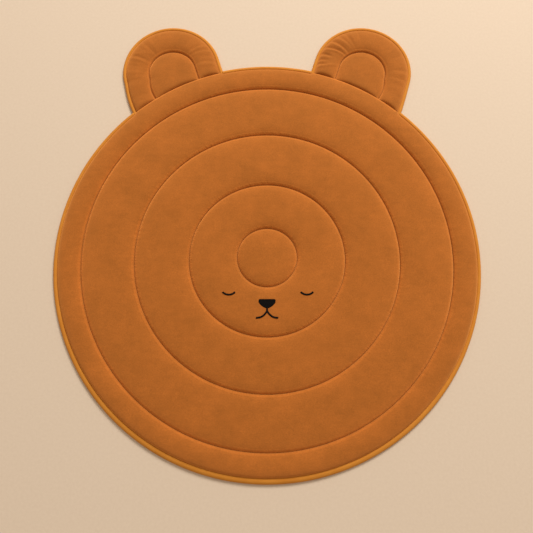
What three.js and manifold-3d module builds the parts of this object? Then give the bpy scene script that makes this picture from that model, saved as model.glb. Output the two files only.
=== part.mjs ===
// A quilted velvet floor rug in the shape of a bear's head, lying flat.
// Millimetres, +Z up. The origin is the middle of the head on the floor, and the ears point to +Y.

import * as THREE from "three";
import { mergeVertices } from "three/addons/utils/BufferGeometryUtils.js";
import Module from "manifold-3d";

const wasm = await Module();
wasm.setup();

// Driving dimensions
const HEAD_RADIUS = 500; // to the outside of the piping
const PIPING_DIAMETER = 8;
const SEWN_GAP = 0.3; // between pieces that are sewn together
const SEAM_HEIGHT = 4.4; // the sewn edge of every pad
const STITCH_HEIGHT = 8; // the top cloth where the quilting pulls it down
const UNDERSIDE_ROLL = 6; // how far inside its edge a pad touches the floor
const HEAD_SEGMENTS = 90;

// Each quilted ring of the head, from the middle: its outer stitch circle and how high it is filled
const PAD_RADIUS = HEAD_RADIUS - PIPING_DIAMETER - SEWN_GAP;
const HEAD_RINGS = [
  { outer: 70, crown: 17 },
  { outer: 182, crown: 18 },
  { outer: 310, crown: 18 },
  { outer: 434, crown: 17.5 },
  { outer: PAD_RADIUS, crown: 15 },
];

// Ears, measured from the middle of the root along the ear's own axis
const EAR_ROOT_ANGLE = THREE.MathUtils.degToRad(27.3); // from +Y, seen from the head's middle
const EAR_TILT = THREE.MathUtils.degToRad(17.7); // the ear's axis from +Y
const EAR_HALF_WIDTH = 123; // to the outside of the piping
const EAR_SHOULDER = 53; // where the straight sides end and the round top starts
const EAR_CROWN = 16;
const INNER_ARCH_HALF_WIDTH = 60.3;
const INNER_ARCH_SHOULDER = 42;
const EAR_ARC_STEPS = 48;
const EAR_ROOT_ROLL = 27; // how far from the root the ear reaches its full height

// Puckers across an ear's outer band, in degrees round its arch from the ear's right: where they start
// and end, and how deep they are
const PUCKER_PITCH = 7.5;
const EAR_PUCKERS = [
  { side: -1, from: 35, to: 155, depth: 0.7 },
  { side: 1, from: 110, to: 185, depth: 1.6 },
  { side: 1, from: 20, to: 110, depth: 0.6 },
];

// Embroidered face, on the second ring of the head
const THREAD_WIDTH = 4.6;
const THREAD_HEIGHT = 1.4;
const THREAD_SIDES = 8;
const THREAD_STEPS = 16;
const EYE_SPACING = 178.6;
const EYE_CHORD = 28;
const EYE_SAG = 6;
const EYE_LOW_Y = -88.6;
const NOSE_WIDTH = 40;
const NOSE_TOP_Y = -98.6;
const NOSE_BOTTOM_Y = -121;
const NOSE_CORNER = 7;
const NOSE_FULLNESS = 0.86; // how far out its round sides are drawn, as a share of the half width
const NOSE_BEVEL = 0.6;
const MOUTH_FORK_Y = -125.6;
const MOUTH_END = { x: 25, y: -141.6 };
const MOUTH_BEND = { x: 8, y: -139.6 };

// Where rows of points lie across a quilted cell, as shares of the way from its stitch line to its crown
const CELL_ROWS = [0, 0.12, 0.4, 1];
// Where points lie along an ear's straight side, as shares of the way from its root to its shoulder
const LEG_STEPS = [0, 0.06, 0.18, 0.42, 0.7];

const velvet = () => new THREE.MeshStandardMaterial({ color: "#b4652a", roughness: 0.9, metalness: 0 });
const mustard = () => new THREE.MeshStandardMaterial({ color: "#d6892f", roughness: 0.8, metalness: 0 });
const blackThread = () => new THREE.MeshStandardMaterial({ color: "#1e1c1b", roughness: 0.6, metalness: 0 });

// Filled cloth rises steeply from a seam and flattens towards its crown
function filled(edgeHeight, crown, share) {
  const flat = 1 - Math.min(Math.max(share, 0), 1);
  return edgeHeight + (crown - edgeHeight) * (1 - flat ** 3);
}

function closedGeometry(positions, indices) {
  const geometry = new THREE.BufferGeometry();
  geometry.setAttribute("position", new THREE.Float32BufferAttribute(positions, 3));
  geometry.setIndex(indices);
  return weld(geometry);
}

// Only positions, with shared vertices merged and the triangles that collapse dropped
function weld(geometry) {
  geometry.deleteAttribute("normal");
  geometry.deleteAttribute("uv");
  const merged = mergeVertices(geometry, 1e-3);
  const index = merged.index.array;
  const kept = [];
  for (let i = 0; i < index.length; i += 3) {
    const [a, b, c] = [index[i], index[i + 1], index[i + 2]];
    if (a !== b && b !== c && c !== a) kept.push(a, b, c);
  }
  merged.setIndex(kept);
  return merged;
}

function solidOf(geometry) {
  const welded = weld(geometry);
  const vertProperties = new Float32Array(welded.attributes.position.array);
  const triVerts = new Uint32Array(welded.index.array);
  return new wasm.Manifold(new wasm.Mesh({ numProp: 3, vertProperties, triVerts }));
}

function geometryOf(solid) {
  const { vertProperties, triVerts } = solid.getMesh();
  return closedGeometry(Array.from(vertProperties), Array.from(triVerts));
}

function piece(name, geometry, material) {
  geometry.computeVertexNormals();
  const mesh = new THREE.Mesh(geometry, material);
  mesh.name = name;
  return mesh;
}

// Head

// The ring that holds a radius. The first is a dome, so it reaches across the axis
function ringAt(radius) {
  const number = HEAD_RINGS.findIndex((ring) => radius <= ring.outer);
  const { outer, crown } = HEAD_RINGS[number];
  const inner = number === 0 ? -outer : HEAD_RINGS[number - 1].outer;
  return { inner, outer, crown };
}

function headHeight(radius) {
  const { inner, outer, crown } = ringAt(radius);
  const middle = (inner + outer) / 2;
  const edgeHeight = outer === PAD_RADIUS && radius > middle ? SEAM_HEIGHT : STITCH_HEIGHT;
  return filled(edgeHeight, crown, 1 - Math.abs(radius - middle) / (outer - middle));
}

function headPad() {
  const profile = [
    new THREE.Vector2(0, 0),
    new THREE.Vector2(PAD_RADIUS - UNDERSIDE_ROLL, 0),
    new THREE.Vector2(PAD_RADIUS, SEAM_HEIGHT),
  ];
  for (const { outer } of [...HEAD_RINGS].reverse()) {
    const { inner } = ringAt(outer);
    const half = (outer - inner) / 2;
    const radii = CELL_ROWS.slice(1).map((share) => outer - share * half);
    if (inner > 0) radii.push(...CELL_ROWS.slice(0, -1).reverse().map((share) => inner + share * half));
    for (const radius of radii) profile.push(new THREE.Vector2(radius, headHeight(radius)));
  }
  return new THREE.LatheGeometry(profile, HEAD_SEGMENTS).rotateX(Math.PI / 2);
}

// Ears, each built upright about its root and then placed on the head

const EAR_PAD_HALF_WIDTH = EAR_HALF_WIDTH - PIPING_DIAMETER - SEWN_GAP;
const EAR_ROOT_RADIUS = PAD_RADIUS + SEWN_GAP;

// The head's edge as the ear's root sees it: how far along the ear's axis it lies, at x across the ear
function rootLine(side, x) {
  const skew = EAR_ROOT_ANGLE - EAR_TILT;
  const middle = { x: -side * EAR_ROOT_RADIUS * Math.sin(skew), y: -EAR_ROOT_RADIUS * Math.cos(skew) };
  return middle.y + Math.sqrt(EAR_ROOT_RADIUS ** 2 - (x - middle.x) ** 2);
}

// The arches between the inner stitched one and the outer edge share out their two shoulders
function shoulderOf(halfWidth) {
  const share = (halfWidth - INNER_ARCH_HALF_WIDTH) / (EAR_HALF_WIDTH - INNER_ARCH_HALF_WIDTH);
  return INNER_ARCH_SHOULDER + share * (EAR_SHOULDER - INNER_ARCH_SHOULDER);
}

// Stations along an arch from its left root over the top to its right root
function archStations() {
  const left = LEG_STEPS.map((share) => ({ leg: -1, share, angle: 180 }));
  const right = [...LEG_STEPS].reverse().map((share) => ({ leg: 1, share, angle: 0 }));
  const top = Array.from({ length: EAR_ARC_STEPS + 1 }, (_, step) => ({
    leg: 0,
    share: 1,
    angle: 180 * (1 - step / EAR_ARC_STEPS),
  }));
  return [...left, ...top, ...right];
}

function archPoint(side, halfWidth, station, rootInset = 0) {
  const shoulder = shoulderOf(halfWidth);
  const angle = THREE.MathUtils.degToRad(station.angle);
  const x = halfWidth * Math.cos(angle);
  if (station.leg === 0) return new THREE.Vector2(x, shoulder + halfWidth * Math.sin(angle));
  const root = rootLine(side, x) + rootInset;
  return new THREE.Vector2(x, root + station.share * (shoulder - root));
}

function puckerDrop(side, angle, share) {
  let drop = 0;
  for (const pucker of EAR_PUCKERS) {
    if (pucker.side !== side || angle < pucker.from || angle > pucker.to) continue;
    const wave = (1 - Math.cos((2 * Math.PI * angle) / PUCKER_PITCH)) / 2;
    drop += pucker.depth * wave * Math.sin(Math.PI * Math.sqrt(share));
  }
  return drop;
}

// Rows of the ear from its spine to its outer edge: each row's half width, height and share across the outer band
function earRows() {
  const band = (EAR_PAD_HALF_WIDTH - INNER_ARCH_HALF_WIDTH) / 2;
  const inner = [...CELL_ROWS].reverse().map((share) => ({
    halfWidth: INNER_ARCH_HALF_WIDTH * (1 - share),
    height: filled(STITCH_HEIGHT, EAR_CROWN, share),
    bandShare: 0,
  }));
  const rising = CELL_ROWS.slice(1).map((share) => ({
    halfWidth: INNER_ARCH_HALF_WIDTH + share * band,
    height: filled(STITCH_HEIGHT, EAR_CROWN, share),
    bandShare: share / 2,
  }));
  const falling = [...CELL_ROWS].reverse().slice(1).map((share) => ({
    halfWidth: EAR_PAD_HALF_WIDTH - share * band,
    height: filled(SEAM_HEIGHT, EAR_CROWN, share),
    bandShare: 1 - share / 2,
  }));
  return [...inner, ...rising, ...falling];
}

function earPad(side) {
  const rows = earRows();
  const stations = archStations();
  const positions = [];
  const indices = [];
  for (const row of rows) {
    for (const station of stations) {
      const point = archPoint(side, row.halfWidth, station);
      const fromRoot = point.y - rootLine(side, point.x);
      const height = row.height - puckerDrop(side, station.angle, row.bandShare);
      positions.push(point.x, point.y, filled(SEAM_HEIGHT, height, fromRoot / EAR_ROOT_ROLL));
    }
  }
  const at = (row, station) => row * stations.length + station;
  for (let row = 0; row + 1 < rows.length; row += 1) {
    for (let station = 0; station + 1 < stations.length; station += 1) {
      const [a, b] = [at(row, station), at(row + 1, station)];
      const [c, d] = [at(row + 1, station + 1), at(row, station + 1)];
      indices.push(a, d, c, a, c, b);
    }
  }

  // The seam runs over the arch and back along the root; the flat underside lies a little inside it
  const last = stations.length - 1;
  const seam = [
    ...stations.map((_, station) => ({ row: rows.length - 1, station })),
    ...rows.map((_, row) => ({ row: rows.length - 1 - row, station: last })).slice(1),
    ...rows.map((_, row) => ({ row, station: 0 })).slice(1, -1),
  ];
  const inset = 1 - UNDERSIDE_ROLL / EAR_PAD_HALF_WIDTH;
  const flat = seam.map(({ row, station }) =>
    archPoint(side, rows[row].halfWidth * inset, stations[station], UNDERSIDE_ROLL));
  const first = positions.length / 3;
  for (const point of flat) positions.push(point.x, point.y, 0);
  seam.forEach(({ row, station }, number) => {
    const next = (number + 1) % seam.length;
    const [a, b] = [at(row, station), at(seam[next].row, seam[next].station)];
    indices.push(a, b, first + next, a, first + next, first + number);
  });
  for (const [a, b, c] of THREE.ShapeUtils.triangulateShape(flat, [])) {
    const area = flat[b].clone().sub(flat[a]).cross(flat[c].clone().sub(flat[a]));
    indices.push(first + a, first + (area > 0 ? c : b), first + (area > 0 ? b : c));
  }
  return closedGeometry(positions, indices);
}

function placeOnHead(geometry, side) {
  const x = side * EAR_ROOT_RADIUS * Math.sin(EAR_ROOT_ANGLE);
  const y = EAR_ROOT_RADIUS * Math.cos(EAR_ROOT_ANGLE);
  return geometry.rotateZ(-side * EAR_TILT).translate(x, y, 0);
}

// Piping

const PIPING_RADIUS = PIPING_DIAMETER / 2;
const PIPING_SIDES = 8;
const CUTTER_HEIGHT = 4 * PIPING_DIAMETER;

class ArchCurve extends THREE.Curve {
  constructor(side, halfWidth) {
    super();
    this.side = side;
    this.halfWidth = halfWidth;
  }

  // From below the left root over the top to below the right root
  getPoint(share) {
    const { side, halfWidth } = this;
    const shoulder = shoulderOf(halfWidth + PIPING_RADIUS);
    const left = shoulder - rootLine(side, -halfWidth) + PIPING_DIAMETER;
    const right = shoulder - rootLine(side, halfWidth) + PIPING_DIAMETER;
    const arc = Math.PI * halfWidth;
    const way = share * (left + arc + right);
    if (way < left) return new THREE.Vector3(-halfWidth, shoulder - left + way, SEAM_HEIGHT);
    if (way > left + arc) return new THREE.Vector3(halfWidth, shoulder - (way - left - arc), SEAM_HEIGHT);
    const angle = Math.PI - (way - left) / halfWidth;
    const x = halfWidth * Math.cos(angle);
    return new THREE.Vector3(x, shoulder + halfWidth * Math.sin(angle), SEAM_HEIGHT);
  }
}

function roundSection(radiusX, radiusY, sides) {
  const points = Array.from({ length: sides }, (_, corner) => {
    const angle = (2 * Math.PI * corner) / sides;
    return new THREE.Vector2(radiusX * Math.cos(angle), radiusY * Math.sin(angle));
  });
  return new THREE.Shape(points);
}

function earPiping(side) {
  const steps = EAR_ARC_STEPS + 2 * LEG_STEPS.length;
  const path = new ArchCurve(side, EAR_HALF_WIDTH - PIPING_RADIUS);
  const section = roundSection(PIPING_RADIUS, PIPING_RADIUS, PIPING_SIDES);
  const tube = new THREE.ExtrudeGeometry(section, { steps, extrudePath: path, bevelEnabled: false });
  const head = wasm.Manifold.cylinder(CUTTER_HEIGHT, EAR_ROOT_RADIUS, EAR_ROOT_RADIUS, 4 * HEAD_SEGMENTS, true);
  return geometryOf(solidOf(placeOnHead(tube, side)).subtract(head));
}

// The whole room an ear and its piping take up, which the head's piping stops short of
function earRoom(side) {
  const halfWidth = EAR_HALF_WIDTH + SEWN_GAP;
  const below = rootLine(side, -side * halfWidth) - EAR_HALF_WIDTH;
  const outline = new THREE.Shape();
  outline.moveTo(-halfWidth, below);
  outline.lineTo(halfWidth, below);
  outline.absarc(0, EAR_SHOULDER, halfWidth, 0, Math.PI, false);
  outline.closePath();
  const room = new THREE.ExtrudeGeometry(outline, { depth: CUTTER_HEIGHT, bevelEnabled: false });
  return solidOf(placeOnHead(room.translate(0, 0, -CUTTER_HEIGHT / 2), side));
}

// One ring round the head, parted by the ears into a long and a short length
function headPiping() {
  const middle = HEAD_RADIUS - PIPING_RADIUS;
  const corners = roundSection(PIPING_RADIUS, PIPING_RADIUS, PIPING_SIDES).getPoints();
  const profile = [...corners, corners[0]].map(({ x, y }) => new THREE.Vector2(middle + x, SEAM_HEIGHT + y));
  const ring = solidOf(new THREE.LatheGeometry(profile, HEAD_SEGMENTS).rotateX(Math.PI / 2));
  const lengths = ring.subtract(earRoom(-1)).subtract(earRoom(1)).decompose();
  return lengths.sort((a, b) => b.volume() - a.volume()).map(geometryOf);
}

// Embroidered face

// Lifts a flat geometry on to the head's quilted top, where it lies a sewn gap above the cloth
function layOnHead(geometry) {
  const position = geometry.attributes.position;
  for (let i = 0; i < position.count; i += 1) {
    const radius = Math.hypot(position.getX(i), position.getY(i));
    position.setZ(i, position.getZ(i) + headHeight(radius) + SEWN_GAP);
  }
  return geometry;
}

function threadLine(curve, steps) {
  const points = curve.getSpacedPoints(steps).map(({ x, y }) => new THREE.Vector3(x, y, THREAD_HEIGHT / 2));
  const section = roundSection(THREAD_HEIGHT / 2, THREAD_WIDTH / 2, THREAD_SIDES);
  const path = new THREE.CatmullRomCurve3(points);
  return layOnHead(new THREE.ExtrudeGeometry(section, { steps, extrudePath: path, bevelEnabled: false }));
}

function eye(side) {
  const radius = (EYE_CHORD ** 2 / 4 + EYE_SAG ** 2) / (2 * EYE_SAG);
  const half = Math.asin(EYE_CHORD / 2 / radius);
  const middle = { x: (side * EYE_SPACING) / 2, y: EYE_LOW_Y + radius };
  const down = -Math.PI / 2;
  const arc = new THREE.EllipseCurve(middle.x, middle.y, radius, radius, down - half, down + half);
  return weld(threadLine(arc, THREAD_STEPS));
}

function nose() {
  const half = NOSE_WIDTH / 2 - NOSE_BEVEL;
  const [top, bottom] = [NOSE_TOP_Y - NOSE_BEVEL, NOSE_BOTTOM_Y + NOSE_BEVEL];
  const outline = new THREE.Shape();
  outline.moveTo(-half + NOSE_CORNER, top);
  outline.lineTo(half - NOSE_CORNER, top);
  outline.quadraticCurveTo(half, top, half, top - NOSE_CORNER / 2);
  outline.quadraticCurveTo(half * NOSE_FULLNESS, bottom + NOSE_CORNER / 2, 0, bottom);
  outline.quadraticCurveTo(-half * NOSE_FULLNESS, bottom + NOSE_CORNER / 2, -half, top - NOSE_CORNER / 2);
  outline.quadraticCurveTo(-half, top, -half + NOSE_CORNER, top);
  const patch = new THREE.ExtrudeGeometry(outline, {
    depth: THREAD_HEIGHT - 2 * NOSE_BEVEL,
    bevelThickness: NOSE_BEVEL,
    bevelSize: NOSE_BEVEL,
    bevelSegments: 1,
    curveSegments: 8,
  });
  return weld(layOnHead(patch.translate(0, 0, NOSE_BEVEL)));
}

function mouth() {
  const fork = new THREE.Vector2(0, MOUTH_FORK_Y);
  const stemTop = new THREE.Vector2(0, NOSE_BOTTOM_Y - SEWN_GAP);
  const stemEnd = new THREE.Vector2(0, MOUTH_FORK_Y - THREAD_WIDTH / 4);
  const sweeps = [-1, 1].map((side) => {
    const bend = new THREE.Vector2(side * MOUTH_BEND.x, MOUTH_BEND.y);
    const end = new THREE.Vector2(side * MOUTH_END.x, MOUTH_END.y);
    return threadLine(new THREE.QuadraticBezierCurve(fork, bend, end), THREAD_STEPS);
  });
  const stem = threadLine(new THREE.LineCurve(stemTop, stemEnd), THREAD_STEPS / 4);
  return geometryOf(wasm.Manifold.union([stem, ...sweeps].map(solidOf)));
}

const rug = new THREE.Group();
const [lowerPiping, crownPiping] = headPiping();
rug.add(piece("head_pad", headPad(), velvet()));
rug.add(piece("piping_head_lower", lowerPiping, mustard()));
rug.add(piece("piping_head_crown", crownPiping, mustard()));
for (const [name, side] of [["left", -1], ["right", 1]]) {
  rug.add(piece(`ear_pad_${name}`, placeOnHead(earPad(side), side), velvet()));
  rug.add(piece(`piping_ear_${name}`, earPiping(side), mustard()));
  rug.add(piece(`eye_${name}`, eye(side), blackThread()));
}
rug.add(piece("nose", nose(), blackThread()));
rug.add(piece("mouth", mouth(), blackThread()));

export default rug;
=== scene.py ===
"""Looks of a quilted velvet floor rug in the shape of a bear's head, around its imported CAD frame.

Every shape is worked out in millimetres and made in metres. The origin is the middle of the head on the
floor, +Z is up, and the ears point to +Y.
"""

import math

import bpy
import numpy as np
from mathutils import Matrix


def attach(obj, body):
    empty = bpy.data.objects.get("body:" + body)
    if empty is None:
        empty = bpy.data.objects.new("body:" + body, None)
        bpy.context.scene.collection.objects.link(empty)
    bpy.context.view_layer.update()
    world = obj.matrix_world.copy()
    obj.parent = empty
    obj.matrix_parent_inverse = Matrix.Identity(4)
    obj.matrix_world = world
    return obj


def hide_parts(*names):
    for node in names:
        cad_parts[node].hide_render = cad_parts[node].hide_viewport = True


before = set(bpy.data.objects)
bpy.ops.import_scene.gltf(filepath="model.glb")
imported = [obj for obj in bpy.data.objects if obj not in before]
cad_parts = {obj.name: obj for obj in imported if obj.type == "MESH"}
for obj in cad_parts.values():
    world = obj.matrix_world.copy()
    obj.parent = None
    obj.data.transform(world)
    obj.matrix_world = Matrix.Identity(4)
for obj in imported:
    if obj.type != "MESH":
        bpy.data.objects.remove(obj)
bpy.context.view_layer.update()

MM = 0.001
ROOT = "root"
MERGE_DISTANCE = 0.02

# Driving sizes, as in the part's source
HEAD_RADIUS = 500.0
SEAM_HEIGHT = 4.4
STITCH_HEIGHT = 8.0
UNDERSIDE_ROLL = 6.0

# The piping is pressed flat, is widest at a clockwise angle from +Y a little left of the chin, slopes down
# outwards, and laps over the edge of the velvet by a share of its half width. Where an ear is sewn on, the
# head's velvet runs on to the seam. The piping's ends are tucked in there.
TOP_PIPING_HALF_WIDTH = 4.6
BOTTOM_PIPING_HALF_WIDTH = 7.3
PIPING_WIDEST = math.radians(195)
EAR_PIPING_HALF_WIDTH = 4.6
PIPING_HALF_HEIGHT = 4.0
PIPING_MIDDLE_HEIGHT = 4.5
PIPING_TILT = math.radians(15)
PIPING_LAP = 0.78
EAR_PIPING_LAP = 0.66
PIPING_INSET = 0.8
PIPING_OUTER_RADIUS = HEAD_RADIUS - PIPING_INSET
PIPING_STEP = 4.0
PIPING_SIDES = 16
PIPING_TUCK = 3.0
EDGE_RADIUS = 493.0
FRONT_SEAM_HEIGHT = 5.7
BACK_SEAM_HEIGHT = 1.8

# Quilted rings of the head, from the middle: outer stitch circle, how far up or down it was sewn off
# centre, filled height, rows of points across
HEAD_RINGS = (
    {"outer": 70.0, "drift": 0.6, "crown": 17.0, "rows": 14},
    {"outer": 182.0, "drift": -2.6, "crown": 18.0, "rows": 24},
    {"outer": 310.0, "drift": -0.5, "crown": 18.0, "rows": 24},
    {"outer": 434.0, "drift": 0.2, "crown": 17.5, "rows": 24},
    {"outer": EDGE_RADIUS, "drift": 0.0, "crown": 17.6, "rows": 20},
)
QUILT_CIRCLES = tuple(ring["outer"] for ring in HEAD_RINGS[:-1])
HEAD_COLUMNS = 480

# Ears, measured from the middle of the root along the ear's own axis
EAR_SIDES = {"left": -1, "right": 1}
EAR_ROOT_ANGLE = math.radians(27.3)
EAR_TILT = math.radians(17.7)
EAR_HALF_WIDTH = 123.0
EAR_PIPING_PROUD = 0.1
EAR_CORD_HALF_WIDTH = EAR_HALF_WIDTH + EAR_PIPING_PROUD - EAR_PIPING_HALF_WIDTH
EAR_EDGE_HALF_WIDTH = EAR_CORD_HALF_WIDTH - EAR_PIPING_LAP * EAR_PIPING_HALF_WIDTH
EAR_ROOT_RADIUS = 492.0
EAR_ROOT_TUCK = 0.5
EAR_ROOT_HEIGHT = 12.0
HEAD_ROOT_LIFT = 4.2
EAR_SHOULDER = 53.0
EAR_CROWN = 17.0
INNER_ARCH_HALF_WIDTH = 58.8
INNER_ARCH_SHOULDER = 44.0

# How far each ear's outer leg bows out, at its edge and at its inner arch
EDGE_BOW = {"left": 3.0, "right": 0.5}
ARCH_BOW = 4.5

# Rows and columns of points of an ear
EAR_LEG_COLUMNS = 26
EAR_ARC_COLUMNS = 128
EAR_INNER_ROWS = 16
EAR_BAND_ROWS = 24

# How the filling swells from a stitch line: mostly as a short steep shoulder, the rest as a wide dome
SHOULDER_SHARE = 0.72
SHOULDER_LENGTH = 7.5
EDGE_SHOULDER_SHARE = 0.66
EDGE_SHOULDER_LENGTH = 4.0
ROOT_SHOULDER_LENGTH = 3.0

# A row of quilting stitches draws a narrow notch into the velvet, and a shallow one into the back
NOTCH_DEPTH = 0.6
NOTCH_WIDTH = 1.5
BACK_NOTCH_DEPTH = 1.6
BACK_NOTCH_WIDTH = 4.0

# Painted light and shade on the pile beside a stitch line: painted shade in the notch under the thread, a
# painted highlight on the rim of the notch, and painted light on its slopes for some way beyond
NOTCH_PAINTED_SHADE = 0.22
NOTCH_PAINTED_SHADE_WIDTH = 1.1
RIM_PAINTED_HIGHLIGHT = 0.19
RIM_PAINTED_HIGHLIGHT_PLACE = 3.6
RIM_PAINTED_HIGHLIGHT_WIDTH = 2.0
SLOPE_PAINTED_LIGHT = 0.11
SLOPE_PAINTED_LIGHT_WIDTH = 8.0

# Where an ear is sewn on, the head's rim gets a stronger painted highlight, and the ear's velvet gets
# painted shade beside the seam
ROOT_PAINTED_HIGHLIGHT = 0.25
ROOT_SHADE = 0.03
ROOT_SHADE_WIDTH = 14.0

# The ears' velvet is painted a little darker all over: painted shade
EAR_PAINTED_SHADE = 0.925

# In the crease beside the piping the velvet gets painted shade, and beyond it a painted highlight. Near
# both ends of a line through the head's middle, turned this far from +X, a wider band of painted shade is
# added. A power sets how soon that ends.
EDGE_PAINTED_SHADE = 0.08
EDGE_PAINTED_SHADE_WIDTH = 4.0
SIDE_PAINTED_SHADE = 0.24
SIDE_PAINTED_SHADE_WIDTH = 8.5
SIDE_PAINTED_SHADE_TURN = math.radians(-20)
SIDE_PAINTED_SHADE_POWER = 12
EDGE_PAINTED_HIGHLIGHT = 0.05
EDGE_PAINTED_HIGHLIGHT_PLACE = 6.5
EDGE_PAINTED_HIGHLIGHT_WIDTH = 3.0

# Folds that the piping's seam draws into each ear's outer band: place along the band at its edge and at the
# inner arch, from left to right, lift of a ridge or drop of a trough, half width, and how much of the band
# the fold crosses from the piping inwards. Places are counted so that the left shoulder has the one given
# here. A fold is full after a short share of its way, and fades over a longer one.
EAR_SHOULDER_PLACE = 60.0
FOLD_RISE_SHARE = 1 / 6
FOLD_FADE_SHARE = 0.4
EAR_FOLDS = {
    "left": (
        {"edge": 10, "arch": 4, "lift": -0.5, "half": 4.7, "reach": 0.9},
        {"edge": 40, "arch": 38, "lift": 0.5, "half": 5.5, "reach": 0.9},
        {"edge": 60, "arch": 58, "lift": -0.66, "half": 4.7, "reach": 0.9},
        {"edge": 86, "arch": 88, "lift": 0.55, "half": 5.5, "reach": 1},
        {"edge": 108, "arch": 112, "lift": -0.5, "half": 4.7, "reach": 0.8},
        {"edge": 129, "arch": 137, "lift": 0.77, "half": 3.9, "reach": 1},
        {"edge": 138, "arch": 151, "lift": -1.22, "half": 4.7, "reach": 1},
        {"edge": 130, "arch": 196, "lift": 0.61, "half": 2.7, "reach": 1},
        {"edge": 168, "arch": 176, "lift": -0.55, "half": 3.1, "reach": 0.6},
        {"edge": 186, "arch": 194, "lift": -0.88, "half": 3.9, "reach": 1},
        {"edge": 202, "arch": 208, "lift": 0.66, "half": 4.7, "reach": 1},
        {"edge": 224, "arch": 228, "lift": -0.5, "half": 3.9, "reach": 0.7},
        {"edge": 242, "arch": 242, "lift": -0.88, "half": 3.9, "reach": 0.4},
        {"edge": 258, "arch": 256, "lift": 0.44, "half": 3.9, "reach": 0.7},
        {"edge": 273, "arch": 272, "lift": -0.88, "half": 3.9, "reach": 0.5},
        {"edge": 300, "arch": 296, "lift": -0.5, "half": 4.7, "reach": 0.8},
        {"edge": 334, "arch": 322, "lift": -0.5, "half": 4.7, "reach": 0.8},
        {"edge": 381, "arch": 342, "lift": -0.72, "half": 3.9, "reach": 1},
        {"edge": 390, "arch": 350, "lift": 0.66, "half": 3.1, "reach": 1},
        {"edge": 401, "arch": 360, "lift": -0.66, "half": 3.9, "reach": 1},
        {"edge": 410, "arch": 369, "lift": 0.61, "half": 3.1, "reach": 1},
        {"edge": 422, "arch": 392, "lift": -0.5, "half": 3.9, "reach": 0.8},
        {"edge": 436, "arch": 412, "lift": -0.83, "half": 3.9, "reach": 1},
        {"edge": 447, "arch": 424, "lift": 0.66, "half": 3.9, "reach": 1},
    ),
    "right": (
        {"edge": 41, "arch": 54, "lift": -1.99, "half": 3.5, "reach": 0.5},
        {"edge": 29, "arch": 61, "lift": 1.21, "half": 3.9, "reach": 1},
        {"edge": 53, "arch": 69, "lift": -1.33, "half": 3.1, "reach": 0.5},
        {"edge": 62, "arch": 78, "lift": 0.76, "half": 3.1, "reach": 0.6},
        {"edge": 72, "arch": 87, "lift": -2.54, "half": 3.5, "reach": 0.6},
        {"edge": 82, "arch": 121, "lift": 1.44, "half": 3.5, "reach": 1},
        {"edge": 92, "arch": 128, "lift": -2.54, "half": 3.9, "reach": 1},
        {"edge": 108, "arch": 137, "lift": 1.21, "half": 3.5, "reach": 1},
        {"edge": 117, "arch": 147, "lift": -2.1, "half": 3.9, "reach": 1},
        {"edge": 128, "arch": 166, "lift": 1.02, "half": 3.9, "reach": 1},
        {"edge": 140, "arch": 172, "lift": -1.02, "half": 3.9, "reach": 0.7},
        {"edge": 158, "arch": 184, "lift": -1.27, "half": 4.7, "reach": 0.9},
        {"edge": 174, "arch": 184, "lift": 0.76, "half": 3.9, "reach": 0.6},
        {"edge": 196, "arch": 205, "lift": -1.15, "half": 3.1, "reach": 0.6},
        {"edge": 216, "arch": 220, "lift": 0.41, "half": 4.7, "reach": 0.7},
        {"edge": 236, "arch": 236, "lift": -0.51, "half": 4.7, "reach": 0.7},
        {"edge": 262, "arch": 260, "lift": 0.41, "half": 4.7, "reach": 0.7},
        {"edge": 290, "arch": 290, "lift": -0.51, "half": 5.5, "reach": 0.6},
        {"edge": 318, "arch": 314, "lift": 0.36, "half": 4.7, "reach": 0.8},
        {"edge": 345, "arch": 340, "lift": -0.56, "half": 4.7, "reach": 0.7},
        {"edge": 372, "arch": 364, "lift": 0.26, "half": 4.7, "reach": 0.8},
        {"edge": 394, "arch": 384, "lift": -0.66, "half": 3.9, "reach": 0.9},
        {"edge": 406, "arch": 398, "lift": 0.4, "half": 3.9, "reach": 0.9},
        {"edge": 423, "arch": 411, "lift": -0.59, "half": 3.5, "reach": 0.9},
        {"edge": 432, "arch": 421, "lift": 0.53, "half": 3.5, "reach": 0.9},
        {"edge": 442, "arch": 434, "lift": -0.53, "half": 3.5, "reach": 0.8},
        {"edge": 457, "arch": 450, "lift": 0.4, "half": 3.9, "reach": 0.9},
        {"edge": 474, "arch": 468, "lift": -0.46, "half": 3.9, "reach": 0.9},
    ),
}

# Handmade unevenness of the filling, and the faint gathers that a stitch line draws in, in two pitches that
# swell and fade round the circle. Both fade towards the seams.
UNEVEN_SEED = 11
UNEVEN_WAVES = 14
UNEVEN_DEPTH = 0.45
UNEVEN_LENGTHS = (70.0, 190.0)
HEAD_UNEVEN_FADE = 25.0
EAR_UNEVEN_FADE = 15.0
GATHER_PITCH = 17.0
SECOND_GATHER_SHARE = 0.63
GATHER_SWELLS = 3
GATHER_DEPTH = 0.22
GATHER_REACH = 9.0
GATHER_START = 2.0
GATHER_EDGE_FADE = 20.0

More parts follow.
